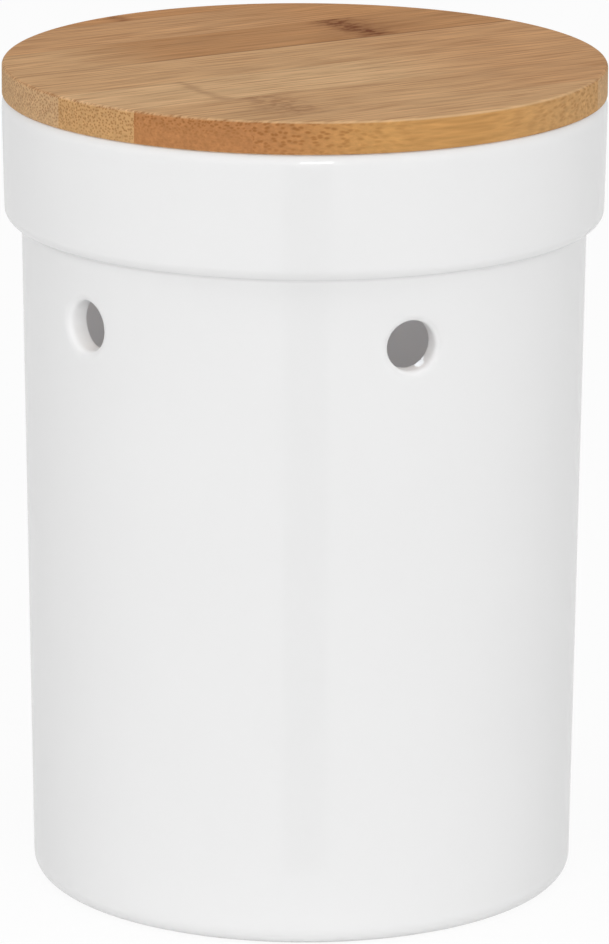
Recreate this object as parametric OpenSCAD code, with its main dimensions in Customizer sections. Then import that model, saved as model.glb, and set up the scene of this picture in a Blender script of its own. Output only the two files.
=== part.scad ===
// Onion keeper: a glazed jar with a collar and a row of air vents, closed by a round bamboo lid.
// The lid lies flush on the rim, and the plug under it sits in the mouth on a silicone ring.
// Millimetres. The jar stands on z = 0 around the Z axis, with one vent facing -Y.

/* [Jar] */
// Height from the table to the rim
jar_h = 192.2; // [140:0.1:260]
// Outer diameter of the collar at the rim
rim_d = 144.2; // [110:0.1:200]
// Height of the collar, from the crease under it to the rim
collar_h = 31; // [24:0.1:60]
// How much the collar's radius shrinks from the rim to its lower edge
collar_draft = 0.5; // [0:0.1:3]
// How far the collar stands out from the body under it
collar_step = 4.1; // [2:0.1:7]
// How much the body's radius shrinks from the crease to the base
body_taper = 2.2; // [0:0.1:10]
// Thickness of the wall
wall = 5.5; // [4:0.1:8]
// Thickness of the floor
floor_t = 6; // [4:0.1:12]

/* [Jar edges] */
// Rounding of the collar's side towards the rim
rim_round = 5; // [2:0.1:8]
// How far the side turns inwards before the rim's edge
rim_turn = 30; // [10:1:60]
// Rounding of the rim's outer edge
rim_edge = 0.8; // [0.4:0.1:1.4]
// Rounding of the rim's inner edge
mouth_round = 1.4; // [0.6:0.1:1.8]
// Rounding of the collar's lower edge
collar_round = 3; // [2:0.1:6]
// Hollow of the glaze in the crease under the collar
crease_round = 1; // [0.6:0.1:3]
// Hollow above the shoulder inside the collar
ledge_round = 3; // [1:0.1:6]
// Rounding of the body's edge at the base
base_round = 4.5; // [2:0.1:8]
// Rounding between the wall and the floor inside
floor_round = 8; // [4:0.1:16]

/* [Foot] */
// Width of the bare ring that the jar stands on
foot_w = 6; // [4:0.1:12]
// Depth of the recess inside that ring
recess_h = 1.5; // [0.5:0.1:3]
// Slope of the recess's side
recess_slope = 35; // [20:1:80]

/* [Vents] */
// Number of vents around the jar
vent_count = 5; // [3:1:8]
// Clear diameter of a vent
vent_d = 12; // [6:0.1:18]
// Rounding of a vent's outer edge
vent_round = 2; // [0.3:0.1:2]
// Drop from the crease to the middle of the vents
vent_drop = 16.2; // [12:0.1:60]

/* [Lid] */
// Thickness of the panel that lies on the rim
panel_t = 7.8; // [5:0.1:14]
// How far the panel's edge stays inside the collar's
panel_inset = 0.1; // [0:0.1:2]
// Rounding of the panel's upper edge
panel_round = 1; // [0.4:0.1:2]
// Rounding of the panel's lower edge
panel_under_round = 0.5; // [0.3:0.1:1.5]
// Thickness of the plug under the panel
plug_t = 8; // [7:0.1:14]
// Gap between the plug and the mouth, which the seal's lips bridge
plug_gap = 2; // [1.2:0.1:3]
// Rounding of the plug's lower edge
plug_round = 1.2; // [0.4:0.1:1.4]

/* [Staves] */
// Number of staves in the panel's glued board
panel_staves = 7; // [4:1:9]
// How much wider that board is than the panel cut from it
panel_spare = 19.8; // [0:0.1:24]
// How far the panel is cut off the middle of its board
panel_shift = 4.3; // [-5:0.1:5]
// Number of staves in the plug's glued board
plug_staves = 6; // [4:1:9]
// How much wider that board is than the plug cut from it
plug_spare = 11.2; // [0:0.1:24]
// Direction of the panel's grain, from X towards Y
grain_angle = 9.5; // [0:0.5:180]

/* [Seal] */
// Depth of the groove round the plug
groove_depth = 2; // [1.2:0.1:4]
// Height of the groove
groove_h = 4; // [3:0.1:4.4]
// Play between the ring and its groove
ring_play = 0.06; // [0.02:0.01:0.1]
// Number of lips on the ring
lip_count = 2; // [1:1:3]
// Thickness of a lip at its root
lip_root = 0.9; // [0.5:0.1:1]
// Thickness of a lip at its tip
lip_tip = 0.5; // [0.3:0.1:0.8]
// How far a lip's tip stands above its root
lip_rise = 0.7; // [0:0.1:1]
// Gap between the lips and the mouth
lip_gap = 0.15; // [0.1:0.05:0.3]

/* [Hidden] */
$fn = 96;
arc_step = 10;
over = 1;

rim_r = rim_d / 2;
mouth_r = rim_r - wall;
collar_low_r = rim_r - collar_draft;
body_top_r = collar_low_r - collar_step;
body_base_r = body_top_r - body_taper;
crease_z = jar_h - collar_h;
floor_z = recess_h + floor_t;
vent_z = crease_z - vent_drop;
vent_r = vent_d / 2;

taper_angle = atan(body_taper / crease_z);
draft_angle = atan(collar_draft / collar_h);

panel_r = rim_r - panel_inset;
plug_r = mouth_r - plug_gap;
plug_z = jar_h - plug_t;
groove_r = plug_r - groove_depth;
groove_z = plug_z + (plug_t - groove_h) / 2;
ring_z = groove_z + ring_play;
ring_h = groove_h - 2 * ring_play;
lip_r = mouth_r - lip_gap;
lip_pitch = ring_h / lip_count;

panel_joints = joints(panel_r, panel_staves, panel_spare, panel_shift);
plug_joints = joints(plug_r, plug_staves, plug_spare, 0);

glaze = "#eeeeec";
silicone = "#dcdedd";
bamboo = ["#c29a6d", "#b98d62", "#c8a377", "#bd9166"];

// Points on an arc about c, from one angle to another
function arc(c, r, from, to) =
    let (n = max(2, ceil(abs(to - from) / arc_step)))
    [for (i = [0:n]) let (a = from + (to - from) * i / n) c + r * [cos(a), sin(a)]];

// Direction from one point to another
function heading(a, b) = atan2(b[1] - a[1], b[0] - a[0]);

// Height between the centres of two arcs that run into each other
function rise(reach, run) = sqrt(reach * reach - run * run);

// How far in from a leaning wall an arc's centre lies, where the arc meets a level face
function corner_inset(r) = r * (1 - sin(taper_angle)) / cos(taper_angle);

// Outer radius of the body at a height
function body_r(z) = body_base_r + body_taper * z / crease_z;

// Edges of the staves across a round of radius r that is cut from a glued board: the round's
// two sides, and between them the board's joints
function joints(r, count, spare, shift) =
    let (stave_w = (2 * r + spare) / count)
    concat([-r - over], [for (k = [1:count - 1]) shift + (k - count / 2) * stave_w], [r + over]);

// The jar's section, from the middle of its underside round to the middle of its floor.
// The crease and the shoulder inside it share one centre, so the wall keeps its thickness there.
function jar_section() =
    let (
        base_c = [body_base_r - corner_inset(base_round), base_round],
        foot_in_r = base_c[0] - foot_w,
        recess_r = foot_in_r - recess_h / tan(recess_slope),
        crease_c = [body_top_r, crease_z] + crease_round * [cos(taper_angle), -sin(taper_angle)],
        collar_x = collar_low_r - collar_round * cos(draft_angle),
        collar_up = rise(collar_round + crease_round, collar_x - crease_c[0]),
        collar_c = [collar_x, crease_c[1] + collar_up],
        edge_reach = rim_round - rim_edge,
        rim_c = [rim_r - rim_round, jar_h - rim_edge - edge_reach * sin(rim_turn)],
        edge_c = rim_c + edge_reach * [cos(rim_turn), sin(rim_turn)],
        mouth_c = [mouth_r + mouth_round, jar_h - mouth_round],
        shoulder_r = wall + crease_round,
        ledge_x = mouth_r - ledge_round,
        ledge_up = rise(shoulder_r + ledge_round, ledge_x - crease_c[0]),
        ledge_c = [ledge_x, crease_c[1] + ledge_up],
        floor_x = body_r(floor_z) - wall - corner_inset(floor_round),
        floor_c = [floor_x, floor_z + floor_round]
    )
    concat(
        [[0, recess_h], [recess_r, recess_h], [foot_in_r, 0]],
        arc(base_c, base_round, -90, -taper_angle),
        arc(crease_c, crease_round, 180 - taper_angle, heading(crease_c, collar_c)),
        arc(collar_c, collar_round, heading(collar_c, crease_c), -draft_angle),
        arc(rim_c, rim_round, -draft_angle, rim_turn),
        arc(edge_c, rim_edge, rim_turn, 90),
        arc(mouth_c, mouth_round, 90, 180),
        arc(ledge_c, ledge_round, 0, heading(ledge_c, crease_c)),
        arc(crease_c, shoulder_r, heading(crease_c, ledge_c), 180 - taper_angle),
        arc(floor_c, floor_round, -taper_angle, -90),
        [[0, floor_z]]
    );

// What is taken out for one vent, around its own axis: the bore, and its rounded outer edge
function vent_section() =
    let (
        face = body_r(vent_z),
        inside = face - wall - vent_r,
        edge_c = [vent_r + vent_round, face - vent_round]
    )
    concat(
        [[0, inside], [vent_r, inside]],
        arc(edge_c, vent_round, 180, 90),
        [[vent_r + vent_round, face + over], [0, face + over]]
    );

function panel_section() =
    let (
        low_c = [panel_r - panel_under_round, jar_h + panel_under_round],
        top_c = [panel_r - panel_round, jar_h + panel_t - panel_round]
    )
    concat(
        [[0, jar_h]],
        arc(low_c, panel_under_round, -90, 0),
        arc(top_c, panel_round, 0, 90),
        [[0, jar_h + panel_t]]
    );

function plug_section() =
    concat(
        [[0, plug_z]],
        arc([plug_r - plug_round, plug_z + plug_round], plug_round, -90, 0),
        [[plug_r, groove_z], [groove_r, groove_z]],
        [[groove_r, groove_z + groove_h], [plug_r, groove_z + groove_h]],
        [[plug_r, jar_h], [0, jar_h]]
    );

// One lip of the seal, with its root on the band
function lip_section(z) = [
    [plug_r, z],
    [lip_r, z + lip_rise],
    [lip_r, z + lip_rise + lip_tip],
    [plug_r, z + lip_root]
];

function ring_section() =
    let (first = ring_z + (lip_pitch - lip_root) / 2)
    concat(
        [[groove_r + ring_play, ring_z], [plug_r, ring_z]],
        [for (i = [0:lip_count - 1]) each lip_section(first + i * lip_pitch)],
        [[plug_r, ring_z + ring_h], [groove_r + ring_play, ring_z + ring_h]]
    );

// The part of a round board that lies between two joints, with its grain along the given direction
module stave(section, low, high, angle) {
    reach = panel_r + over;
    intersection() {
        rotate_extrude() polygon(section);
        rotate([0, 0, angle])
            translate([-reach, low, 0])
            cube([2 * reach, high - low, jar_h + panel_t + over]);
    }
}

module jar() {
    color(glaze)
        difference() {
            rotate_extrude() polygon(jar_section());
            for (i = [0:vent_count - 1])
                rotate([0, 0, i * 360 / vent_count - 90])
                translate([0, 0, vent_z])
                rotate([0, 90, 0])
                rotate_extrude() polygon(vent_section());
        }
}

module seal_ring() {
    color(silicone) rotate_extrude() polygon(ring_section());
}

module lid_stave(i) {
    color(bamboo[i % len(bamboo)])
        stave(panel_section(), panel_joints[i - 1], panel_joints[i], grain_angle);
}

// The plug's staves run across the panel's, so that neither ply can cup
module plug_stave(i) {
    color(bamboo[(i + 1) % len(bamboo)])
        stave(plug_section(), plug_joints[i - 1], plug_joints[i], grain_angle + 90);
}

jar();
seal_ring();
for (i = [1:panel_staves])
    lid_stave(i);
for (i = [1:plug_staves])
    plug_stave(i);
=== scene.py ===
# %% [markdown]
# # An onion keeper: glazed jar, bamboo lid, silicone ring
# A white ceramic jar keeps onions dry. Air passes through five round vents under its collar, and a
# round bamboo lid closes it. The measured solids of all its pieces are loaded first, and nothing here
# moves or resizes them. The lesson then gives every surface the finish that one sees and touches.

# %% The measured pieces
import math

import bmesh
import bpy
from mathutils import Matrix, Vector


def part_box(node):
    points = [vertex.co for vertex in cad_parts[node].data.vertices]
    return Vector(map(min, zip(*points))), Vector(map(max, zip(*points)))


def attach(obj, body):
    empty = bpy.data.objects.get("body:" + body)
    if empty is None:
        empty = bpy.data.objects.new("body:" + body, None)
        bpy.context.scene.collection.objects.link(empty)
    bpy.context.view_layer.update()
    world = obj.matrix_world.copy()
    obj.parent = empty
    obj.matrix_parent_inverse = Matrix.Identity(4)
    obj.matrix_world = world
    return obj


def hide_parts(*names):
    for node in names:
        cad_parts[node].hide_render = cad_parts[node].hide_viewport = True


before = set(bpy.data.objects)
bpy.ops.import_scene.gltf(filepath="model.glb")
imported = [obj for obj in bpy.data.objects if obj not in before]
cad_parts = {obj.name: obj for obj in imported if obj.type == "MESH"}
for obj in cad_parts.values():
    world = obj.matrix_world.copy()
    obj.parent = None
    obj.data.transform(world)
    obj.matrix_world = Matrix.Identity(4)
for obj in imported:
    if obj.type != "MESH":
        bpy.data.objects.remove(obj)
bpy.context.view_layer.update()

MM = 0.001
jar_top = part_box("jar")[1].z
lid_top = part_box("lid_stave_4")[1].z
print("pieces:", ", ".join(sorted(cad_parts)))
print(f"jar {jar_top / MM:.1f} mm high, with its lid {lid_top / MM:.1f} mm")

# %% [markdown]
# ## A camera where the photographer stood
# The camera could be placed by eye, but the jar's outline gives it away: how round its rim looks tells
# the height of the lens, and how much the far edge shrinks tells the distance. The long lens and the
# small roll come from that outline too. The image is 609 by 944 pixels.

# %% Camera
IMAGE_W, IMAGE_H = 609, 944
FOCAL_PX = 6875
AXIS_PX = 303.1
VIEW_AZIMUTH = math.radians(-22.25)
VIEW_ELEVATION = math.radians(14.76)
VIEW_ROLL = math.radians(0.25)
VIEW_DISTANCE = 1659 * MM
VIEW_TARGET = Vector((0, 0, 98.7 * MM))
SENSOR = 36


def direction(azimuth, elevation):
    """The unit vector from the object towards a viewer; azimuth 0 is in front, on the -Y side."""
    flat = math.cos(elevation)
    return Vector((math.sin(azimuth) * flat, -math.cos(azimuth) * flat, math.sin(elevation)))


back = direction(VIEW_AZIMUTH, VIEW_ELEVATION)
turn = (-back).to_track_quat("-Z", "Y").to_matrix().to_4x4()
camera = bpy.data.objects.new("camera", bpy.data.cameras.new("camera"))
camera.matrix_world = (
    Matrix.Translation(VIEW_TARGET + back * VIEW_DISTANCE) @ turn @ Matrix.Rotation(VIEW_ROLL, 4, "Z")
)
camera.data.sensor_width = SENSOR
camera.data.lens = FOCAL_PX / IMAGE_H * SENSOR
camera.data.shift_x = (IMAGE_W / 2 - AXIS_PX) / IMAGE_H
bpy.context.scene.collection.objects.link(camera)
bpy.context.scene.camera = camera
print(f"camera {VIEW_DISTANCE:.2f} m away with a {camera.data.lens:.0f} mm lens")

# %% [markdown]
# ## Shader maths as arithmetic
# A finish is a network of nodes. Wiring it by hand takes a line for every link, so one small class
# wraps an output socket and lets Python's own operators add the Math nodes: `1 - mask * 0.3` reads as it
# looks. Two shapes are wanted again and again, a soft step and a hump, and they are methods too.

# %% Values as expressions
class Signal:
    """An output socket of a node. Arithmetic on it adds Math nodes to the same tree."""

    def __init__(self, tree, socket):
        self.tree = tree
        self.socket = socket

    def math(self, operation, *others):
        """A Math node with this value first and the others after it."""
        return self.tree.node("ShaderNodeMath", {"operation": operation}, dict(enumerate((self, *others))))

    def math_after(self, first, operation):
        """A Math node with this value second, for expressions such as 1 - mask."""
        return self.tree.node("ShaderNodeMath", {"operation": operation}, {0: first, 1: self})

    def __add__(self, other):
        return self.math("ADD", other)

    def __radd__(self, other):
        return self.math("ADD", other)

    def __sub__(self, other):
        return self.math("SUBTRACT", other)

    def __rsub__(self, other):
        return self.math_after(other, "SUBTRACT")

    def __mul__(self, other):
        return self.math("MULTIPLY", other)

    def __rmul__(self, other):
        return self.math("MULTIPLY", other)

    def __truediv__(self, other):
        return self.math("DIVIDE", other)

    def __rtruediv__(self, other):
        return self.math_after(other, "DIVIDE")

    def __abs__(self):
        return self.math("ABSOLUTE")

    def most(self, other):
        return self.math("MAXIMUM", other)

    def step(self, low, high):
        """A soft step: 0 below low, 1 above high. With high under low it falls instead."""
        if high < low:
            return 1 - self.step(high, low)
        sockets = {"Value": self, "From Min": low, "From Max": high}
        return self.tree.node("ShaderNodeMapRange", {"interpolation_type": "SMOOTHSTEP"}, sockets)

    def hump(self, middle, spread):
        """A smooth hump of height 1 around a middle value."""
        away = (self - middle) / spread
        return (away * away * -1).math("EXPONENT")


print("values add their own Math nodes")

# %% [markdown]
# ## One method for all other nodes
# Noise, mixes and shaders are made by one method. It sets a node's options before its sockets, because an
# option such as a Mix node's data type changes which sockets there are. It could be called directly each
# time, but the kinds that come up most have short methods of their own, which keeps a finish easy to read.

# %% Trees of nodes
class Tree:
    """A node tree that is being filled."""

    def __init__(self, owner):
        owner.use_nodes = True
        self.nodes = owner.node_tree.nodes
        self.links = owner.node_tree.links
        self.nodes.clear()

    def node(self, kind, options=None, sockets=None, output=0):
        """Adds a node: its type, then its options, then a value or a link for each named socket."""
        made = self.nodes.new(kind)
        for name, value in (options or {}).items():
            setattr(made, name, value)
        for name, value in (sockets or {}).items():
            if isinstance(value, Signal):
                self.links.new(value.socket, made.inputs[name])
            else:
                made.inputs[name].default_value = value
        return Signal(self, made.outputs[output]) if made.outputs else made

    def outputs(self, kind, names):
        """Adds a node without inputs and gives those of its outputs that are named."""
        made = self.node(kind).socket.node
        return [Signal(self, made.outputs[name]) for name in names]

    def vector(self, x, y, z):
        return self.node("ShaderNodeCombineXYZ", None, {"X": x, "Y": y, "Z": z})

    def split(self, vector):
        """The three parts of a vector."""
        made = self.node("ShaderNodeSeparateXYZ", None, {"Vector": vector})
        return [Signal(self, out) for out in made.socket.node.outputs]

    def scaled(self, vector, scale):
        """A vector or a colour times a number."""
        return self.node("ShaderNodeVectorMath", {"operation": "SCALE"}, {0: vector, "Scale": scale})

    def noise(self, vector, detail=2.0):
        """Soft noise from 0 to 1, about 0.5 on average."""
        return self.node("ShaderNodeTexNoise", None, {"Vector": vector, "Scale": 1.0, "Detail": detail})

    def mix(self, factor, a, b):
        """Colours blended in a Mix node; a factor of 0 gives a."""
        return self.node("ShaderNodeMix", {"data_type": "RGBA"}, {0: factor, 6: a, 7: b}, output=2)

    def surface(self, shader):
        """Ends a material's tree."""
        self.node("ShaderNodeOutputMaterial", None, {"Surface": shader})


def rgb(red, green, blue):
    """A linear colour as a socket takes it."""
    return (red, green, blue, 1.0)


print("trees take nodes, links and linear colours")

# %% [markdown]
# ## A white studio
# The object stands on a plain pale floor under an even sky. A white background could be had by pouring on
# light, but that would burn out the white glaze. Instead the rays that start at the lens, and those that a
# gloss mirrors or a clear piece lets through, find the floor and the sky white. Rays that only carry light
# meet a plain pale floor and a dim sky. A small share of that plain floor stays in view and keeps the shadow.

# %% Floor and sky
FLOOR_SIZE = 12.0
FLOOR_COLOUR = rgb(0.92, 0.92, 0.92)
FLOOR_WHITE_SHARE = 0.92
SKY_LIGHT = rgb(0.25, 0.25, 0.25)
WHITE = rgb(1.0, 1.0, 1.0)


def seen_rays(tree):
    """1 for rays from the camera, mirrored or let through ones too, and 0 for those that only light."""
    kinds = ("Is Camera Ray", "Is Glossy Ray", "Is Transmission Ray")
    from_camera, mirrored, let_through = tree.outputs("ShaderNodeLightPath", kinds)
    return from_camera.most(mirrored).most(let_through)


floor_finish = bpy.data.materials.new("floor_paper")
paper = Tree(floor_finish)
lit = paper.node("ShaderNodeBsdfDiffuse", None, {"Color": FLOOR_COLOUR})
glow = paper.node("ShaderNodeEmission", None, {"Color": WHITE, "Strength": 1.0})
white_share = seen_rays(paper) * FLOOR_WHITE_SHARE
paper.surface(paper.node("ShaderNodeMixShader", None, {0: white_share, 1: lit, 2: glow}))

bpy.ops.mesh.primitive_plane_add(size=FLOOR_SIZE)
floor = bpy.context.object
floor.name = "floor"
floor.data.materials.append(floor_finish)

world = bpy.data.worlds.new("studio")
bpy.context.scene.world = world
sky = Tree(world)
sky_colour = sky.mix(seen_rays(sky), SKY_LIGHT, WHITE)
background = sky.node("ShaderNodeBackground", None, {"Color": sky_colour})
sky.node("ShaderNodeOutputWorld", None, {"Surface": background})
bpy.context.scene.view_settings.view_transform = "Standard"
print(f"floor {FLOOR_SIZE} m wide, {FLOOR_WHITE_SHARE:.0%} white to the lens")

# %% [markdown]
# ## Soft lamps
# White ware is often photographed in a tent of white cloth, where light comes from all sides at once. One
# bright sky could stand for it, but it leaves broad grey shade under the collar. Five wide lamps do better:
# the low ones reach into the crease and round the base, the sides keep the round jar bright almost to its
# outline, and the high ones light the lid. They leave no mark in the glaze. Only a small lamp beside the
# camera does, the short bright one on the rim. A lamp is placed by its direction as the camera sees it.

# %% Lamps
LAMP_DISTANCE = 8.0


def softbox(name, azimuth, elevation, width, height, watts, distance=LAMP_DISTANCE, mirrored=False):
    """An oblong area lamp that faces the middle of the jar, with its angles in degrees."""
    towards = direction(VIEW_AZIMUTH + math.radians(azimuth), math.radians(elevation))
    data = bpy.data.lights.new(name, "AREA")
    data.shape = "RECTANGLE"
    data.size = width
    data.size_y = height
    data.energy = watts
    lamp = bpy.data.objects.new(name, data)
    lamp.location = VIEW_TARGET + towards * distance
    lamp.rotation_euler = towards.to_track_quat("Z", "Y").to_euler()
    lamp.visible_camera = False
    lamp.visible_glossy = mirrored
    bpy.context.scene.collection.objects.link(lamp)
    print(f"{name}: {watts} W, {width} by {height} m")


softbox("left_softbox", azimuth=-80, elevation=28, width=5.0, height=5.0, watts=147.0)
softbox("right_softbox", azimuth=80, elevation=28, width=5.0, height=5.0, watts=129.0)
softbox("front_softbox", azimuth=0, elevation=20, width=8.0, height=3.0, watts=193.0)
softbox("high_softbox", azimuth=0, elevation=65, width=8.0, height=5.0, watts=107.0)
softbox("top_softbox", azimuth=0, elevation=88, width=6.0, height=6.0, watts=86.0)
softbox(
    "camera_softbox",
    azimuth=4.5,
    elevation=17,
    width=0.4,
    height=0.333,
    watts=3.8,
    distance=2.0,
    mirrored=True,
)

# %% [markdown]
# ## Light inside the jar
# Through the vents one sees the far wall in mid grey, not black, because a white room inside a jar passes
# on all the light that seeps in. Many bounces could carry it, but they are slow and noisy, so a very weak
# lamp under the lid stands for them. It is a little cool, as the bamboo above it throws back warm light.

# %% Lamp inside
SEEP_HEIGHT = 163 * MM
SEEP_RADIUS = 12 * MM
SEEP_TINT = (0.83, 0.91, 1.0)
SEEP_WATTS = 0.030

seep = bpy.data.objects.new("light_inside", bpy.data.lights.new("light_inside", "POINT"))
seep.data.energy = SEEP_WATTS
seep.data.color = SEEP_TINT
seep.data.shadow_soft_size = SEEP_RADIUS
seep.location = (0, 0, SEEP_HEIGHT)
seep.visible_camera = False
bpy.context.scene.collection.objects.link(seep)
print(f"lamp of {SEEP_WATTS} W inside the jar, {SEEP_HEIGHT / MM:.0f} mm up")

# %% [markdown]
# ## A dark card for the glaze
# A gloss is known by what it mirrors, and in an all-white room a glaze looks like matt plastic. So a dark
# card lies in front of the jar, where the wall, seen from a little above, mirrors the floor. A round wall
# turns a wedge into an even, upright band. Only mirrored rays find the card, so it takes no light from
# the jar and throws no shadow.

# %% Dark card
CARD_COLOUR = rgb(0.03, 0.03, 0.03)
CARD_AZIMUTH = VIEW_AZIMUTH + math.radians(1.0)
CARD_LIFT = 0.5 * MM
CARD_ENDS = [(115 * MM, 13 * MM), (960 * MM, 142 * MM)]

card_finish = bpy.data.materials.new("card_black")
card_tree = Tree(card_finish)
card_matt = card_tree.node("ShaderNodeBsdfDiffuse", None, {"Color": CARD_COLOUR})
card_tree.surface(card_matt)

ahead = direction(CARD_AZIMUTH, 0)
aside = Vector((-ahead.y, ahead.x, 0))
lift = Vector((0, 0, CARD_LIFT))
(near, near_half), (far, far_half) = CARD_ENDS
outline = [(near, -near_half), (near, near_half), (far, far_half), (far, -far_half)]
card_mesh = bpy.data.meshes.new("dark_card")
card_mesh.from_pydata([ahead * out + aside * off + lift for out, off in outline], [], [(0, 1, 2, 3)])
card_mesh.materials.append(card_finish)
card = bpy.data.objects.new("dark_card", card_mesh)
card.visible_camera = False
card.visible_diffuse = False
card.visible_shadow = False
bpy.context.scene.collection.objects.link(card)
print(f"card {far - near:.2f} m long, {2 * near_half / MM:.0f} mm wide at its near end")

# %% [markdown]
# ## The jar's section
# The jar is slip-cast: liquid clay fills a plaster mould and leaves a wall of even thickness, so its whole
# shape is one section turned round an axis. The section runs from the middle of the underside, up the
# outside, over the rim and down to the middle of the floor. Its sizes are those of the measured solid,
# with finer arcs, because a glaze shows every flat spot as a kink in its reflections.

# %% Sizes of the jar
RIM_R = 72.1 * MM
COLLAR_H = 31 * MM
COLLAR_DRAFT = 0.5 * MM
COLLAR_STEP = 4.1 * MM
BODY_TAPER = 2.2 * MM
WALL = 5.5 * MM
FLOOR_T = 6 * MM
RIM_ROUND = 5 * MM
RIM_TURN = math.radians(30)
RIM_EDGE = 0.8 * MM
MOUTH_ROUND = 1.4 * MM
COLLAR_ROUND = 3 * MM
CREASE_ROUND = 1 * MM
LEDGE_ROUND = 3 * MM
BASE_ROUND = 4.5 * MM
FLOOR_ROUND = 8 * MM
FOOT_W = 6 * MM
RECESS_H = 1.5 * MM
RECESS_SLOPE = math.radians(35)
FOOT_ROUND = 0.8 * MM
VENT_DROP = 16.2 * MM

mouth_r = RIM_R - WALL
collar_low_r = RIM_R - COLLAR_DRAFT
body_top_r = collar_low_r - COLLAR_STEP
body_base_r = body_top_r - BODY_TAPER
crease_z = jar_top - COLLAR_H
vent_z = crease_z - VENT_DROP
floor_z = RECESS_H + FLOOR_T
taper = math.atan(BODY_TAPER / crease_z)
draft = math.atan(COLLAR_DRAFT / COLLAR_H)
print(f"body {2000 * body_top_r:.1f} mm across at the collar and {2000 * body_base_r:.1f} mm at the base")

# %% [markdown]
# ## Lines and arcs
# The section is made of straight lines, which lean a little so that the jar leaves its mould, and of arcs
# between them. A Bevel modifier could round the corners, but it rounds them all alike, and here a soft base
# meets a tight crease. So each arc is drawn with its own radius, in steps that are too small to be seen.

# %% Lines and arcs
ARC_STEP = math.radians(6)
QUARTER = math.pi / 2


def body_r(z):
    """Outer radius of the body at a height."""
    return body_base_r + BODY_TAPER * z / crease_z


def corner_inset(radius):
    """How far in from the leaning wall an arc's centre lies, where the arc meets a level face."""
    return radius * (1 - math.sin(taper)) / math.cos(taper)


def heading(a, b):
    """The angle at which one sees point b from point a."""
    return math.atan2(b[1] - a[1], b[0] - a[0])


def arc(centre, radius, start, stop, step=ARC_STEP):
    """Points on an arc, from one angle to another."""
    count = max(3, math.ceil(abs(stop - start) / step))
    angles = [start + (stop - start) * i / count for i in range(count + 1)]
    return [(centre[0] + radius * math.cos(a), centre[1] + radius * math.sin(a)) for a in angles]


print(f"{len(arc((0, 0), BASE_ROUND, -QUARTER, -taper))} points round the base")

# %% [markdown]
# ## Rows for the vents
# A vent could be cut with a Boolean modifier, but the cut leaves long thin faces that spoil the gloss
# around it. Here the wall is a grid from the start. The rows and columns round each vent are of one
# size, so that a square of cells can be taken out and filled by rings that lead from the square to the hole.

# %% Rows of the wall
SEGMENTS = 240
VENTS = 5
HALF_PATCH = 6
ROW = 8 * MM
EASE = 0.4 * MM

cell = math.tau * body_r(vent_z) / SEGMENTS
vent_rows = [vent_z + (i - HALF_PATCH) * cell for i in range(2 * HALF_PATCH + 1)]


def rows(low, high):
    """Heights strictly between two heights, about ROW apart, with one close to each end."""
    count = max(1, round((high - low) / ROW))
    even = [low + (high - low) * i / count for i in range(1, count)]
    return [low + EASE, *even, high - EASE]


def wall_rows(low, high):
    """Heights of the wall's rows between two heights, with the vents' own rows among them."""
    return rows(low, vent_rows[0]) + vent_rows + rows(vent_rows[-1], high)


print(f"{len(vent_rows)} rows across each vent, {cell / MM:.2f} mm apart")

# %% [markdown]
# ## Centres of the arcs
# An arc placed by eye meets its neighbours at an angle, and the glaze would show it as a line. It runs into
# them smoothly only if its centre is as far from both as its radius says. Where two arcs meet, as in the
# crease under the collar, their centres are as far apart as the two radii together.

# %% Centres of the arcs
base_c = (body_base_r - corner_inset(BASE_ROUND), BASE_ROUND)
foot_in_r = base_c[0] - FOOT_W
recess_r = foot_in_r - RECESS_H / math.tan(RECESS_SLOPE)
crease_c = (body_top_r + CREASE_ROUND * math.cos(taper), crease_z - CREASE_ROUND * math.sin(taper))
collar_x = collar_low_r - COLLAR_ROUND * math.cos(draft)
collar_up = math.sqrt((COLLAR_ROUND + CREASE_ROUND) ** 2 - (collar_x - crease_c[0]) ** 2)
collar_c = (collar_x, crease_c[1] + collar_up)
edge_reach = RIM_ROUND - RIM_EDGE
rim_c = (RIM_R - RIM_ROUND, jar_top - RIM_EDGE - edge_reach * math.sin(RIM_TURN))
edge_c = (rim_c[0] + edge_reach * math.cos(RIM_TURN), jar_top - RIM_EDGE)
mouth_c = (mouth_r + MOUTH_ROUND, jar_top - MOUTH_ROUND)
shoulder_r = WALL + CREASE_ROUND
ledge_x = mouth_r - LEDGE_ROUND
ledge_up = math.sqrt((shoulder_r + LEDGE_ROUND) ** 2 - (ledge_x - crease_c[0]) ** 2)
ledge_c = (ledge_x, crease_c[1] + ledge_up)
floor_c = (body_r(floor_z) - WALL - corner_inset(FLOOR_ROUND), floor_z + FLOOR_ROUND)
foot_tan = FOOT_ROUND * math.tan(RECESS_SLOPE / 2)
print(f"crease {crease_z / MM:.1f} mm up, foot ring {2000 * foot_in_r:.1f} mm wide inside")

# %% [markdown]
# ## The whole section
# The points are strung together in one line: the underside with its foot ring, the outside up to the rim,
# and the inside down to the middle of the floor. A point close to either end of each flat keeps the smooth
# shading of the arcs from spreading over it. The first wall rows are noted, because the vents go there.

# %% Points of the section
RIM_STEP = math.radians(3)

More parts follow.
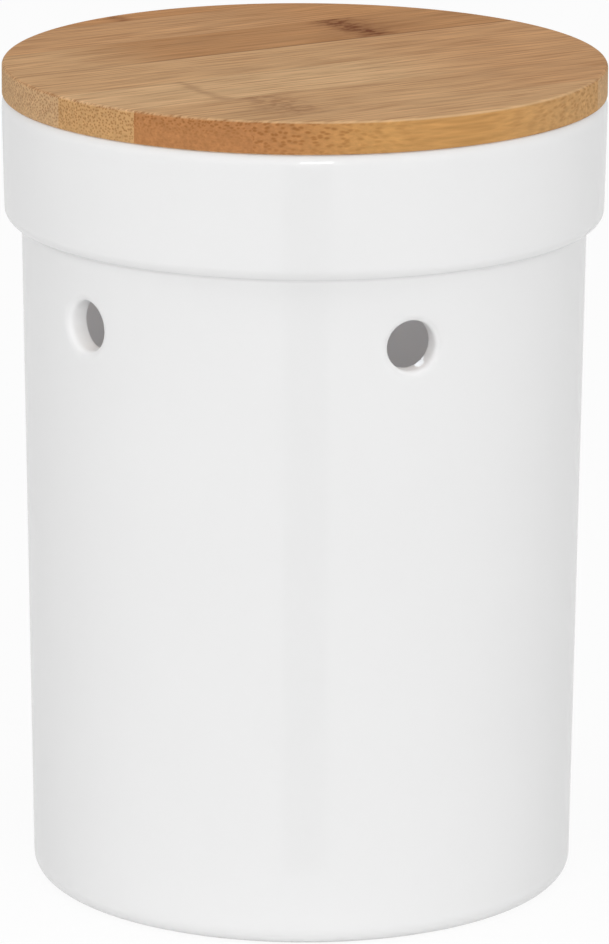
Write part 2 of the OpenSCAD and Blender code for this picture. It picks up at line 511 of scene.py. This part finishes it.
underside = [(0, RECESS_H), (recess_r - foot_tan - EASE, RECESS_H)]
underside += arc((recess_r - foot_tan, RECESS_H - FOOT_ROUND), FOOT_ROUND, QUARTER, QUARTER - RECESS_SLOPE)
underside += arc((foot_in_r + foot_tan, FOOT_ROUND), FOOT_ROUND, -QUARTER - RECESS_SLOPE, -QUARTER)
underside += [(foot_in_r + foot_tan + EASE, 0), (base_c[0] - EASE, 0)]
outside = arc(base_c, BASE_ROUND, -QUARTER, -taper)
first_outer_row = len(underside) + len(outside)
outside += [(body_r(z), z) for z in wall_rows(BASE_ROUND, crease_z)]
outside += arc(crease_c, CREASE_ROUND, math.pi - taper, heading(crease_c, collar_c))
outside += arc(collar_c, COLLAR_ROUND, heading(collar_c, crease_c), -draft)[1:]
collar_rows = rows(collar_c[1], rim_c[1])
collar_slope = COLLAR_DRAFT / (rim_c[1] - collar_c[1])
outside += [(collar_low_r + collar_slope * (z - collar_c[1]), z) for z in collar_rows]
outside += arc(rim_c, RIM_ROUND, 0, RIM_TURN, RIM_STEP)
outside += arc(edge_c, RIM_EDGE, RIM_TURN, QUARTER)[1:]
inside = [(edge_c[0] - EASE, jar_top), (mouth_c[0] + EASE, jar_top)]
inside += arc(mouth_c, MOUTH_ROUND, QUARTER, math.pi)
inside += [(mouth_r, z) for z in reversed(rows(ledge_c[1], mouth_c[1]))]
inside += arc(ledge_c, LEDGE_ROUND, 0, heading(ledge_c, crease_c))
inside += arc(crease_c, shoulder_r, heading(crease_c, ledge_c), math.pi - taper)[1:]
first_inner_row = len(underside) + len(outside) + len(inside)
inside += [(body_r(z) - WALL, z) for z in reversed(wall_rows(floor_c[1], crease_c[1]))]
inside += arc(floor_c, FLOOR_ROUND, -taper, -QUARTER)
inside += [(floor_c[0] - EASE, floor_z), (0, floor_z)]
section = underside + outside + inside
print(f"section of {len(section)} points")

# %% [markdown]
# ## Turning the section
# Blender's Screw modifier could turn the section, but the vents need to know which point is which. So
# each section point becomes a ring of points, and neighbouring rings are joined by a skin of four-sided
# faces. A point on the axis stays a single point, and its faces come out as triangles.

# %% Turned rings and their skin
def ring_points(section, segments):
    """Points and rings of point numbers for a section turned round Z. The first point faces -Y."""
    points, rings = [], []
    for radius, height in section:
        count = segments if radius > 0 else 1
        rings.append(range(len(points), len(points) + count))
        for k in range(count):
            around = math.tau * k / segments
            points.append(Vector((radius * math.sin(around), -radius * math.cos(around), height)))
    return points, rings


def skin(rings, segments, left_out=()):
    """Faces between neighbouring rings, apart from the (row, column) cells that are left out."""
    faces = []
    for row, (low, high) in enumerate(zip(rings, rings[1:])):
        for k in range(segments):
            if (row, k) in left_out:
                continue
            corners = [low[n % len(low)] for n in (k, (k + 1) % segments)]
            corners += [high[n % len(high)] for n in ((k + 1) % segments, k)]
            faces.append(list(dict.fromkeys(corners)))
    return faces


def make_piece(name, points, faces):
    """A smooth-shaded mesh object, with its faces turned outwards."""
    mesh = bpy.data.meshes.new(name)
    mesh.from_pydata(points, [], faces)
    shell = bmesh.new()
    shell.from_mesh(mesh)
    bmesh.ops.recalc_face_normals(shell, faces=shell.faces)
    open_edges = sum(not edge.is_manifold for edge in shell.edges)
    shell.to_mesh(mesh)
    shell.free()
    mesh.shade_smooth()
    piece = bpy.data.objects.new(name, mesh)
    bpy.context.scene.collection.objects.link(piece)
    print(f"{name}: {len(mesh.polygons)} faces, {open_edges} open edges")
    return piece


print(f"the section turns in {SEGMENTS} steps of {360 / SEGMENTS} degrees")

# %% [markdown]
# ## From a square to a hole
# On each face of the wall a square of cells makes room for a vent. Straight spokes from the square to the
# hole would bend the gloss, so a few rings lie between them. Their shape changes evenly from the square to
# the circle, and all their points stay on the round wall.

# %% Rings round a vent
def patch_border(half):
    """(column, row) offsets round the border of a square patch, anticlockwise from the right middle."""
    right = [(half, j) for j in range(half)]
    top = [(i, half) for i in range(half, -half, -1)]
    left = [(-half, j) for j in range(half, -half, -1)]
    bottom = [(i, -half) for i in range(-half, half)]
    return right + top + left + bottom + [(half, j) for j in range(-half, 0)]


def wall_point(around, height, depth):
    """A point in the wall, at a depth under its outer face."""
    radius = body_r(height) - depth
    return Vector((radius * math.sin(around), -radius * math.cos(around), height))


def spread_rings(middle, border, depth, edge_r, shares):
    """Rings on one face of the wall between the patch's border and the edge of the hole."""
    rings = []
    for share in shares:
        ring = []
        for n, (column, row) in enumerate(border):
            angle = math.tau * n / len(border)
            height = vent_z + edge_r * math.sin(angle)
            around = math.asin(edge_r * math.cos(angle) / (body_r(height) - depth))
            far_around = math.tau * column / SEGMENTS
            far_height = vent_z + row * cell
            at = (around + (far_around - around) * share, height + (far_height - height) * share)
            ring.append(wall_point(middle + at[0], at[1], depth))
        rings.append(ring)
    return rings


print(f"{len(patch_border(HALF_PATCH))} points round each vent")

# %% [markdown]
# ## The bore of a vent
# On the real jar the vents are drilled in the leather-hard clay and sponged, so their outer edges are soft
# and round, and the glaze fills the rest. A plain tube would catch no light on its edge. So the rings go
# round the outer edge, along the bore and round the small inner edge.

# %% Rings through a vent
VENT_R = 6 * MM
VENT_ROUND = 2 * MM
VENT_IN_ROUND = 0.4 * MM
EDGE_STEPS = 6
BORE_STEPS = 3


def edge_course(radius):
    """How far outside the bore and how deep a rounded edge lies, from the wall's face inwards."""
    turns = [QUARTER * (i + 1) / EDGE_STEPS for i in range(EDGE_STEPS)]
    return [(radius * (1 - math.sin(turn)), radius * (1 - math.cos(turn))) for turn in turns]


def bore_rings(middle, count):
    """Rings round the outer edge, along the bore and round the inner edge."""
    length = WALL - VENT_ROUND - VENT_IN_ROUND
    course = edge_course(VENT_ROUND)
    course += [(0, VENT_ROUND + length * i / BORE_STEPS) for i in range(1, BORE_STEPS)]
    course += [(out, WALL - depth) for out, depth in reversed(edge_course(VENT_IN_ROUND))]
    rings = []
    for out, depth in course:
        ring = []
        for n in range(count):
            angle = math.tau * n / count
            height = vent_z + (VENT_R + out) * math.sin(angle)
            aside = (VENT_R + out) * math.cos(angle)
            around = math.asin(aside / (body_r(height) - depth))
            ring.append(wall_point(middle + around, height, depth))
        rings.append(ring)
    return rings


print(f"vents {2 * VENT_R / MM:.0f} mm across, with outer edges rounded by {VENT_ROUND / MM:.0f} mm")

# %% [markdown]
# ## The glazed jar
# Now the wall's cells at each vent are left out of the skin, and the vent's rings are stitched in
# between the borders of the two squares. The measured solid could be dressed as it is, but its arcs are
# coarser, so this piece takes its place.

# %% Jar
SPREAD_STEPS = 5

points, rings = ring_points(section, SEGMENTS)
outer_rows = first_outer_row + len(rows(BASE_ROUND, vent_rows[0]))
inner_rows = first_inner_row + len(rows(vent_rows[-1], crease_c[1]))
border = patch_border(HALF_PATCH)
side = range(-HALF_PATCH, HALF_PATCH)
left_out = set()
vent_tubes = []
for vent in range(VENTS):
    column = vent * SEGMENTS // VENTS
    middle = math.tau * column / SEGMENTS
    for i in side:
        for j in range(2 * HALF_PATCH):
            left_out.add((outer_rows + j, (column + i) % SEGMENTS))
            left_out.add((inner_rows + j, (column + i) % SEGMENTS))
    spread = [1 - i / SPREAD_STEPS for i in range(1, SPREAD_STEPS + 1)]
    tube = spread_rings(middle, border, 0, VENT_R + VENT_ROUND, spread)
    tube += bore_rings(middle, len(border))
    tube += spread_rings(middle, border, WALL, VENT_R + VENT_IN_ROUND, reversed(spread))
    outer_border = [rings[outer_rows + HALF_PATCH + j][(column + i) % SEGMENTS] for i, j in border]
    inner_border = [rings[inner_rows + HALF_PATCH - j][(column + i) % SEGMENTS] for i, j in border]
    loops = [outer_border]
    for ring in tube:
        loops.append(range(len(points), len(points) + len(ring)))
        points += ring
    vent_tubes.append([*loops, inner_border])

faces = skin(rings, SEGMENTS, left_out)
for loops in vent_tubes:
    faces += skin(loops, len(border))
glazed_jar = make_piece("glazed_jar", points, faces)
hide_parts("jar")
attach(glazed_jar, "jar")

# %% [markdown]
# ## Where the glaze lies, and painted light in the vents
# The ring that the jar stands on is wiped bare before firing, or it would fuse to the kiln shelf. In the
# vents a whiter colour than the glaze is painted on the bores as painted light, so that they look nearly as
# light as the wall. Both places could be painted by hand as attributes of the mesh. Masks worked out from
# height and direction are exact instead, and one sector with a vent in it is repeated all the way round.

# %% Bare foot and painted light in the vents
RAGGED_MM = 3.0
BARE_BELOW, GLAZED_ABOVE = 0.3, 0.55
# The painted light in the vents fades out between these distances from each vent's axis, in millimetres.
PAINTED_LIGHT_IN, PAINTED_LIGHT_OUT = 6.1, 7.1


def in_millimetres(tree):
    """Coordinates on the object, in millimetres."""
    (place,) = tree.outputs("ShaderNodeTexCoord", ["Object"])
    return tree.scaled(place, 1 / MM)


def clouds(tree, place, size_mm, detail):
    """Noise whose cells are about this wide."""
    return tree.noise(tree.scaled(place, 1 / size_mm), detail)


glaze = bpy.data.materials.new("white_glaze")
coat = Tree(glaze)
on_jar = in_millimetres(coat)
x_mm, y_mm, height_mm = coat.split(on_jar)
ragged = clouds(coat, on_jar, RAGGED_MM, detail=3.0) - 0.5
bare = (height_mm + ragged * 0.5).step(GLAZED_ABOVE, BARE_BELOW)

sector = math.tau / VENTS
from_vent = x_mm.math("ARCTAN2", y_mm * -1).math("WRAP", sector / 2, -sector / 2)
aside_mm = (x_mm * x_mm + y_mm * y_mm).math("SQRT") * from_vent.math("SINE")
up_mm = height_mm - vent_z / MM
# Painted light: 1 near each vent's axis, where the bores are painted whiter than the glaze.
vent_painted_light = (aside_mm * aside_mm + up_mm * up_mm).math("SQRT").step(PAINTED_LIGHT_OUT, PAINTED_LIGHT_IN)
# The pooled glaze that this line names is painted light in the bores.
print(f"clay bare up to {BARE_BELOW} mm, glaze pooled within {PAINTED_LIGHT_IN} mm of each vent's axis")

# %% [markdown]
# ## White glaze
# A glaze is a coat of glass over white clay. One glossy white could stand for both, but the clay's own
# surface is matt, and the glass on it gives the sharp, weak reflection. So a Coat over a rough white base is
# closer. The glaze runs a little unevenly, which only shows as a slow wobble in reflections, and the bare
# clay is gritty.

# %% Glaze
GLAZE_WHITE = rgb(0.86, 0.86, 0.86)
GLAZE_SHADE = rgb(0.845, 0.845, 0.845)
# Painted light: the whiter colour painted in the vents' bores.
GLAZE_PAINTED_LIGHT = rgb(0.97, 0.97, 0.97)
BARE_CLAY = rgb(0.70, 0.66, 0.60)
FLOW_MM, PEEL_MM, GRIT_MM = 26.0, 2.2, 0.35
CLAY_ROUGHNESS = 0.4
COAT_WEIGHT = 0.55
COAT_ROUGHNESS = 0.04

flow = clouds(coat, on_jar, FLOW_MM, detail=1.0)
peel = clouds(coat, on_jar, PEEL_MM, detail=1.0)
grit = clouds(coat, on_jar, GRIT_MM, detail=2.0)
# In the vents' bores the glaze colour gives way to the whiter painted light.
white = coat.mix(vent_painted_light, coat.mix(flow, GLAZE_WHITE, GLAZE_SHADE), GLAZE_PAINTED_LIGHT)
relief = flow + peel * 0.01 + grit * bare * 0.4
shader = coat.node(
    "ShaderNodeBsdfPrincipled",
    None,
    {
        "Base Color": coat.mix(bare, white, BARE_CLAY),
        "Roughness": CLAY_ROUGHNESS + bare * 0.5 + peel * 0.02,
        "Coat Weight": COAT_WEIGHT - bare * COAT_WEIGHT,
        "Coat Roughness": COAT_ROUGHNESS,
        "Specular IOR Level": 0.0,
        "Normal": coat.node("ShaderNodeBump", None, {"Strength": 0.25, "Distance": 0.0004, "Height": relief}),
    },
)
coat.surface(shader)
glazed_jar.data.materials.append(glaze)
print(f"glaze of {len(coat.nodes)} nodes on the jar")

# %% [markdown]
# ## Bamboo
# A bamboo stem is a tube, so bamboo boards are glued up from staves. Along a stave run hundreds of hard
# fibre bundles. Cut across, they show as brown dots, and cut along, as fine streaks, so a flat picture of
# grain can't be right on both the top and the rim. The finish is a solid one instead: the bundles are
# columns along the stave, and every cut through them shows the right pattern by itself. Sizes are in
# millimetres, along the fibres first and then across them.

# %% Directions in a stave
GRAIN_ANGLE = math.radians(9.5)
WANDER_ALONG, WANDER_ACROSS, WANDER = 45, 9, 2.6
SWAY_ALONG, SWAY_ACROSS, SWAY = 30, 5, 1.8
LEFT_BLEND = (-50, -20)
RIGHT_BLEND = (0, 42)


class Wood(Tree):
    """A tree with a stave's own directions in millimetres: u along it, v across it, w up."""

    def __init__(self, finish, angle, seed):
        super().__init__(finish)
        self.seed = seed
        place, normal = self.outputs("ShaderNodeTexCoord", ("Object", "Normal"))
        self.u, self.v, self.w = self.split(self.turned(place, angle, 1 / MM))
        facing_along, _, facing_up = self.split(self.turned(normal, angle, 1))
        self.rim = abs(facing_up).step(0.75, 0.35)
        self.end_grain = (facing_along * facing_along).step(0.0, 0.30)
        # The upper edge, where a paler colour is painted as a highlight.
        self.edge = facing_up.hump(0.72, 0.2) * (1 - self.end_grain)

        place = self.vector(self.u / WANDER_ALONG + seed, self.v / WANDER_ACROSS, self.w / WANDER_ACROSS)
        self.course = self.v + (self.noise(place, detail=1.0) - 0.5) * WANDER

    def turned(self, vector, angle, scale):
        """A vector turned round Z into the stave's directions, and scaled."""
        sockets = {"Vector": vector, "Rotation": (0, 0, -angle), "Scale": (scale, scale, scale)}
        return self.node("ShaderNodeMapping", None, sockets)

    def grain(self, along, across, detail=2.0):
        """Noise drawn out along the fibres, which wander a little from side to side."""
        place = self.vector(self.u / along + self.seed, self.course / across, self.w / across)
        return self.noise(place, detail)

    def along(self, left, middle, right):
        """Three tones that follow each other along the stave."""
        start = self.mix(self.u.step(*LEFT_BLEND), left, middle)
        return self.mix(self.u.step(*RIGHT_BLEND), start, right)

    def bundles(self, pitch):
        """1 in the fibre bundles. They sway up and down too, so that they come and go on a flat cut."""
        place = self.vector(self.u / SWAY_ALONG, self.v / SWAY_ACROSS, self.seed)
        height = self.w + (self.noise(place, detail=1.0) - 0.5) * SWAY
        place = self.vector(self.course / pitch + self.seed, height / pitch, 0)
        options = {"voronoi_dimensions": "2D"}
        from_middle = self.node("ShaderNodeTexVoronoi", options, {"Vector": place, "Scale": 1.0})
        return from_middle.step(0.46, 0.10)


print(f"fibres lie {math.degrees(GRAIN_ANGLE):.1f} degrees from the X axis")

# %% [markdown]
# ## A stave's finish
# The ground has three tones that follow each other along the stave, and patches, streaks and fine fibres
# lighten and darken it. The bundles are strongest on the rim, where they are cut across, and towards the
# side that was the outside of the stem, and they thin out to one end. A paler line along the upper edge is
# a painted highlight. Knuckles, where a leaf once grew, are dark marks, broken up into specks. A joint is a
# fine dark line. Oiled bamboo is satin, so it stays rather rough, and a little more so on the rim.

# %% Bamboo finish
FIBRE = (14, 0.5)
STREAK = (20, 1.0)
PATCH = (40, 7)
BEND = (9, 7)
SPECK = (3.5, 1.6)
PATCH_DEPTH, STREAK_DEPTH, FIBRE_DEPTH = 0.4, 0.95, 0.6
THINNING = (10, 50)
GLUE_WIDTH, GLUE_CORE = 0.7, 0.15
BUNDLE_BROWN = rgb(0.26, 0.095, 0.024)
STREAK_RED = rgb(0.36, 0.135, 0.040)
# A paler colour along the upper edge, a painted highlight.
PAINTED_EDGE_HIGHLIGHT = rgb(0.78, 0.54, 0.29)
KNUCKLE_BROWN = rgb(0.160, 0.046, 0.014)
GLUE_BROWN = rgb(0.20, 0.095, 0.040)


def bamboo(name, angle, seed, tones, rim_tones, bundle, knuckles, joints):
    """A stave's finish: the tones along its top and along its rim, and the marks in it."""
    finish = bpy.data.materials.new(name)
    wood = Wood(finish, angle, seed)
    pitch, fade_low, fade_high = bundle
    on_top = 1 - wood.rim
    fibre = wood.grain(*FIBRE, detail=3.0)
    streak = wood.grain(*STREAK, detail=4.0)
    patch = wood.grain(*PATCH)
    cells = wood.bundles(pitch) * (0.25 + wood.w.step(fade_low, fade_high) * 0.75)
    cells = cells * (1 - wood.u.step(*THINNING) * 0.5)

    ground = wood.mix(wood.rim, wood.along(*tones), wood.along(*rim_tones))
    drift = (patch - 0.5) * PATCH_DEPTH + (streak - 0.5) * STREAK_DEPTH + (fibre - 0.5) * FIBRE_DEPTH
    ground = wood.scaled(ground, 1 + drift * (1 - wood.rim * 0.45))
    ground = wood.mix(streak.step(0.5, 0.34) * on_top * 0.35, ground, STREAK_RED)
    colour = wood.mix(cells * (0.14 + wood.end_grain * 0.44), ground, BUNDLE_BROWN)
    # A painted highlight: a paler line along the upper edge.
    colour = wood.mix(wood.edge * 0.5, colour, PAINTED_EDGE_HIGHLIGHT)

    bent = wood.u + (wood.grain(*BEND, detail=1.0) - 0.5) * 5
    speck = wood.grain(*SPECK).step(0.42, 0.58)
    for middle, spread, strength, dotted in knuckles:
        mark = bent.hump(middle, spread) * (1 - dotted + speck * dotted) * strength
        colour = wood.mix(mark, colour, KNUCKLE_BROWN)
    for joint, strength in joints:
        line = abs(wood.v - joint).step(GLUE_WIDTH, GLUE_CORE) * (0.5 + fibre) * on_top
        glue = line * (0.3 + wood.u.step(*LEFT_BLEND) * 0.7) * strength
        colour = wood.mix(glue, colour, GLUE_BROWN)

    relief = fibre * 0.5 - cells * (0.3 + wood.end_grain * 0.7)
    bump = wood.node("ShaderNodeBump", None, {"Strength": 0.35, "Distance": 0.00008, "Height": relief})
    roughness = 0.68 + (fibre - 0.5) * 0.2 + wood.rim * 0.05
    sockets = {"Base Color": colour, "Roughness": roughness, "Specular IOR Level": 0.04, "Normal": bump}
    wood.surface(wood.node("ShaderNodeBsdfPrincipled", None, sockets))
    return finish


def dress(node_name, finish):
    """Gives a measured piece its finish in place of the plain one."""
    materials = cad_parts[node_name].data.materials
    materials.clear()
    materials.append(finish)


print("bamboo ready: fibres", FIBRE, "mm, streaks", STREAK, "mm, patches", PATCH, "mm")

# %% [markdown]
# ## Tones of the bamboo
# Bamboo is steamed before it is cut, and the longer it is steamed the browner it gets. The rim shows the
# ends of the fibres, which drink more oil and look more golden than the top. Colours are linear, as shaders
# take them. Bundles have a distance from each other and two heights, between which they fade in.

# %% Tones of the lid
TAN = rgb(0.592, 0.351, 0.179)
PALE = rgb(0.655, 0.411, 0.219)
WARM = rgb(0.555, 0.304, 0.147)
AMBER = rgb(0.515, 0.253, 0.107)
RUST = rgb(0.479, 0.239, 0.102)
RIM_GOLD = rgb(0.565, 0.300, 0.105)
RIM_RUST = rgb(0.474, 0.214, 0.083)
RIM_TAN = rgb(0.576, 0.337, 0.148)
RIM_PALE = rgb(0.602, 0.386, 0.207)

COARSE = (1.05, 190, 197)
EDGE_ONLY = (0.8, 195, 199.5)
FINE = (0.75, 190, 196)
print("bundles", COARSE[0], "mm apart in the front stave and", FINE[0], "mm in the fine ones")

# %% [markdown]
# ## The lid's seven staves
# Every stave comes from another stem, so each has its own tones, its own spacing of bundles and its own
# knuckles. One finish could run over the whole lid, but then the marks would cross the joints. The list goes
# from the front right of the lid to the back: the tones along the top, those along the rim, the bundles, and
# the knuckles with their place along the stave, width, strength and share of specks. One joint was glued
# less well than the others. It shows as a dark line that fades to the left.

# %% Lid staves
STAVE_W = 23.4
FIRST_JOINT = -54.2
DARK_JOINT = 4
FAINT_GLUE, DARK_GLUE = 0.10, 0.60
SEED_STEP = 7.3
PALE_RIM = (RIM_PALE, RIM_PALE, RIM_PALE)
TAN_RIM = (RIM_TAN, RIM_TAN, RIM_TAN)

# Most staves turn darker towards their right ends, in their third tone. This is partly the bamboo's own tone
# and partly painted shade, where less light falls from the right.
lid_staves = [
    ((TAN, TAN, TAN), (RIM_RUST, RIM_GOLD, RIM_TAN), COARSE, []),
    ((TAN, TAN, WARM), (RIM_RUST, RIM_RUST, RIM_PALE), EDGE_ONLY, [(-32, 6, 0.42, 0.7)]),
    ((PALE, PALE, WARM), TAN_RIM, FINE, [(-40, 1.4, 0.27, 0.2)]),
    ((TAN, TAN, WARM), PALE_RIM, FINE, []),
    ((TAN, RUST, RUST), PALE_RIM, FINE, [(33.5, 10, 0.3, 0.4), (31, 4, 0.95, 0.6)]),
    ((WARM, WARM, AMBER), PALE_RIM, FINE, []),
    ((AMBER, AMBER, AMBER), PALE_RIM, FINE, [(-13, 3, 0.6, 0.5)]),
]
lid_joints = [(FIRST_JOINT + i * STAVE_W, FAINT_GLUE) for i in range(len(lid_staves) - 1)]
lid_joints[DARK_JOINT - 1] = (lid_joints[DARK_JOINT - 1][0], DARK_GLUE)
for number, (tones, rim_tones, bundle, knuckles) in enumerate(lid_staves, start=1):
    joints = lid_joints[max(0, number - 2):number]
    seed = number * SEED_STEP
    name = f"lid_bamboo_{number}"
    dress(f"lid_stave_{number}", bamboo(name, GRAIN_ANGLE, seed, tones, rim_tones, bundle, knuckles, joints))
    print(f"lid stave {number}: {len(knuckles)} knuckles, {len(joints)} joints")

# %% [markdown]
# ## The plug's six staves
# The plug under the lid is a second glued board, laid across the first so that the lid can't cup. It is
# only seen when the lid is lifted, and it takes the same finish turned by a right angle.

# %% Plug staves
PLUG_STAVE_W = 23.4
PLUG_FINE = (0.9, 180, 183)
PLUG_ANGLE = GRAIN_ANGLE + QUARTER
PLUG_SEED, PLUG_SEED_STEP = 60, 5.9

plug_staves = [
    ((TAN, TAN, WARM), []),
    ((PALE, TAN, TAN), [(22, 3, 0.5, 0.6)]),
    ((TAN, TAN, TAN), []),
    ((WARM, WARM, RUST), [(-35, 4, 0.7, 0.7)]),
    ((PALE, TAN, TAN), []),
    ((TAN, WARM, WARM), []),
]
half = len(plug_staves) / 2
plug_joints = [((i - half) * PLUG_STAVE_W, FAINT_GLUE) for i in range(1, len(plug_staves))]
for number, (tones, knuckles) in enumerate(plug_staves, start=1):
    joints = plug_joints[max(0, number - 2):number]
    seed = PLUG_SEED + number * PLUG_SEED_STEP
    name = f"plug_bamboo_{number}"
    dress(f"plug_stave_{number}", bamboo(name, PLUG_ANGLE, seed, tones, TAN_RIM, PLUG_FINE, knuckles, joints))
    print(f"plug stave {number}: {len(knuckles)} knuckles, {len(joints)} joints")

# %% [markdown]
# ## The seal ring
# The ring is moulded silicone. It sits in a groove round the plug, and its two thin lips bend against the
# mouth. It is another turned section, with round tips on the lips as a mould leaves them.

# %% Seal ring
PLUG_GAP = 2 * MM
GROOVE_DEPTH = 2 * MM
RING_PLAY = 0.06 * MM
LIP_GAP = 0.15 * MM
LIP_ROOT = 0.9 * MM
LIP_TIP = 0.5 * MM
LIP_RISE = 0.7 * MM
LIPS = 2
TIP_STEP = math.radians(20)
BAND_ROUND = 0.3 * MM
SEAL_SEGMENTS = 192

seal_low, seal_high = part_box("seal_ring")
plug_r = mouth_r - PLUG_GAP
band_r = plug_r - GROOVE_DEPTH + RING_PLAY
lip_pitch = (seal_high.z - seal_low.z) / LIPS


def lip(z):
    """A lip from its root at height z out to its round tip and back."""
    tip_c = (mouth_r - LIP_GAP - LIP_TIP / 2, z + LIP_RISE + LIP_TIP / 2)
    tip = arc(tip_c, LIP_TIP / 2, -QUARTER, QUARTER, TIP_STEP)
    return [(plug_r, z), *tip, (plug_r, z + LIP_ROOT)]


ring_section = arc((band_r + BAND_ROUND, seal_low.z + BAND_ROUND), BAND_ROUND, math.pi, 1.5 * math.pi)
ring_section += arc((plug_r - BAND_ROUND, seal_low.z + BAND_ROUND), BAND_ROUND, -QUARTER, 0)
for number in range(LIPS):
    ring_section += lip(seal_low.z + (number + 0.5) * lip_pitch - LIP_ROOT / 2)
ring_section += arc((plug_r - BAND_ROUND, seal_high.z - BAND_ROUND), BAND_ROUND, 0, QUARTER)
ring_section += arc((band_r + BAND_ROUND, seal_high.z - BAND_ROUND), BAND_ROUND, QUARTER, math.pi)
points, rings = ring_points(ring_section, SEAL_SEGMENTS)
silicone_ring = make_piece("silicone_ring", points, skin([*rings, rings[0]], SEAL_SEGMENTS))
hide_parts("seal_ring")
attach(silicone_ring, "seal")

# %% [markdown]
# ## Silicone
# Silicone is milky: light goes a little way in and comes out nearby, which a small Subsurface weight
# gives. Its skin is satin, with faint clouds where the mould was hotter.

# %% Silicone finish
SILICONE_CLEAR = rgb(0.74, 0.75, 0.74)
SILICONE_CLOUD = rgb(0.66, 0.67, 0.66)
CLOUD_MM, DUST_MM = 9.0, 0.5

silicone = bpy.data.materials.new("milky_silicone")
gel = Tree(silicone)
on_ring = in_millimetres(gel)
cloud = clouds(gel, on_ring, CLOUD_MM, detail=2.0)
dust = clouds(gel, on_ring, DUST_MM, detail=2.0)
shader = gel.node(
    "ShaderNodeBsdfPrincipled",
    None,
    {
        "Base Color": gel.mix(cloud, SILICONE_CLEAR, SILICONE_CLOUD),
        "Roughness": 0.38 + cloud * 0.12 + dust * 0.08,
        "Subsurface Weight": 0.2,
        "Subsurface Scale": 0.002,
        "Normal": gel.node("ShaderNodeBump", None, {"Strength": 0.1, "Distance": 0.00005, "Height": dust}),
    },
)
gel.surface(shader)
silicone_ring.data.materials.append(silicone)
print(f"silicone of {len(gel.nodes)} nodes on the ring")
